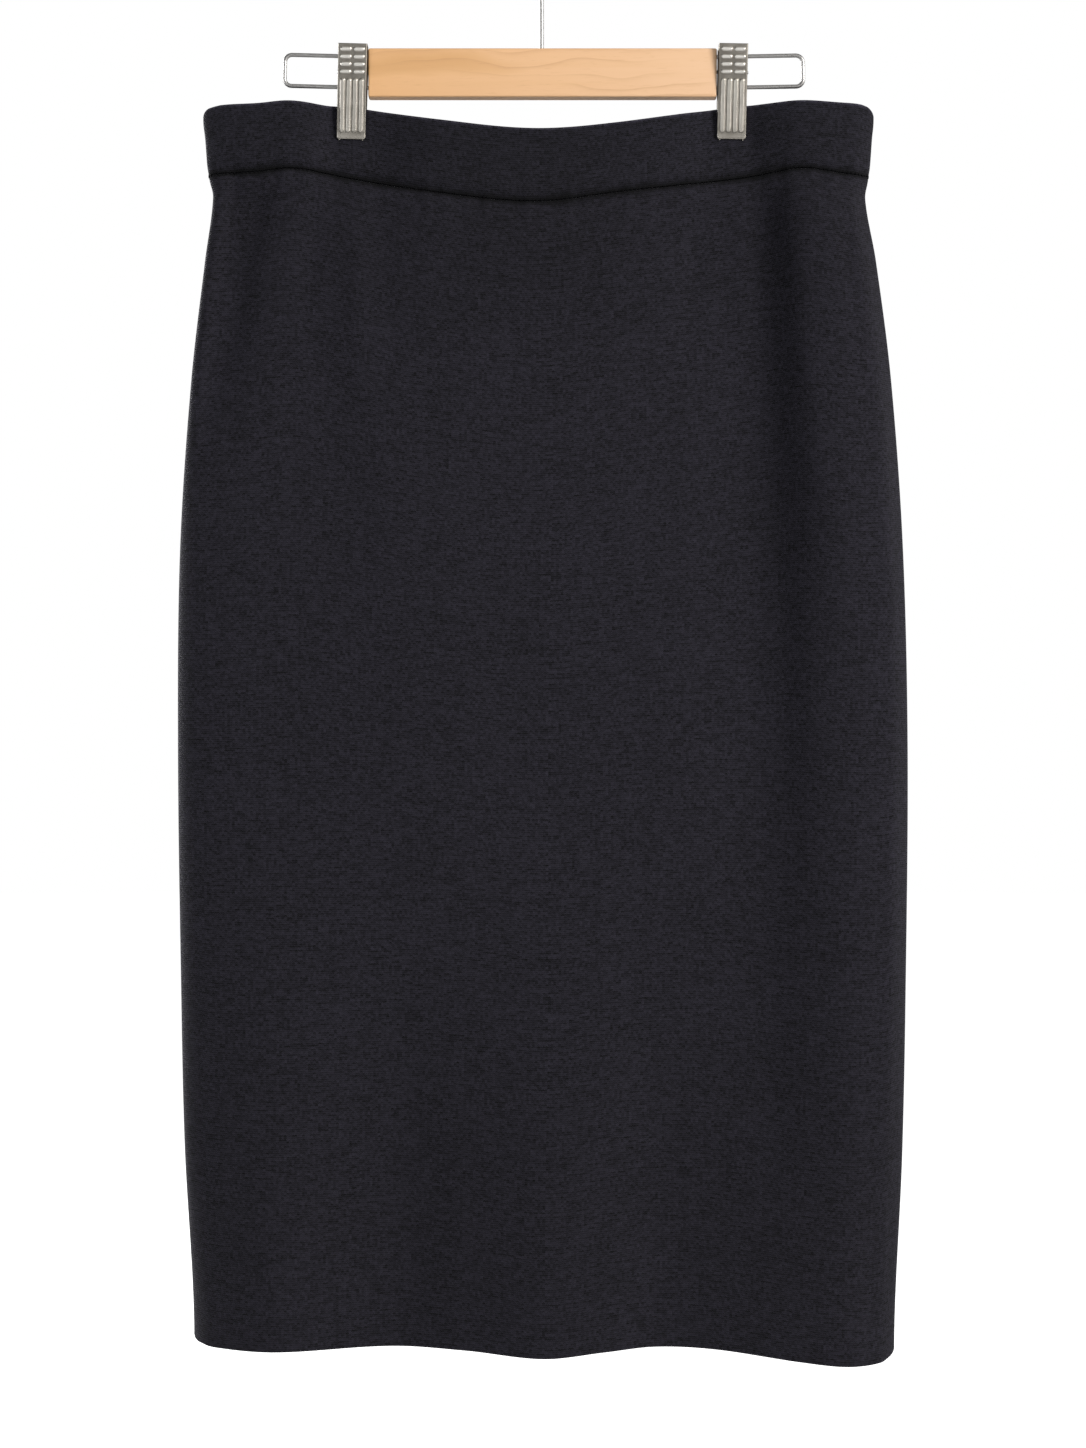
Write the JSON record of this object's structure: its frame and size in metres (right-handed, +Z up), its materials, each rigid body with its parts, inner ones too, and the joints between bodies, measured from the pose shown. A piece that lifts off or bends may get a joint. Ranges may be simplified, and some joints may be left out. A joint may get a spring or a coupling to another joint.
{
  "type": "knitted pencil skirt on a wooden clip hanger",
  "caption": "Black knitted pull-on pencil skirt with a deep waistband, hanging flat from the sprung metal clips of a wooden bar hanger with a wire hook.",
  "frame": {"origin": "the hang point: the inner crest of the hook's crook, where a rail carries the hanger", "axes": "+Z up, +X to the right as seen from the front of the skirt, -Y towards the viewer"},
  "size_m": [0.4231, 0.0572, 0.8448],
  "materials": {
    "black_knit": "matt fine horizontal-ribbed knit, near black with a slight blue cast",
    "black_knit_band": "the same knit, doubled, slightly denser and darker",
    "pale_wood": "pale clear-lacquered wood with a faint grain along the bar",
    "nickel_plate": "pressed sheet metal, satin nickel plated",
    "bright_wire": "drawn steel wire, bright plated",
    "spring_steel": "plain spring steel"
  },
  "bodies": {
    "root": {"skirt_front": "black_knit", "skirt_back": "black_knit", "waistband_front": "black_knit_band", "waistband_back": "black_knit_band", "hanger_bar": "pale_wood", "hook": "bright_wire", "wire_loop_left": "bright_wire", "wire_loop_right": "bright_wire", "clip_left_front": "nickel_plate", "clip_left_back": "nickel_plate", "clip_left_pin": "spring_steel", "clip_left_spring": "spring_steel", "clip_right_front": "nickel_plate", "clip_right_back": "nickel_plate", "clip_right_pin": "spring_steel", "clip_right_spring": "spring_steel"}
  },
  "joints": []
}
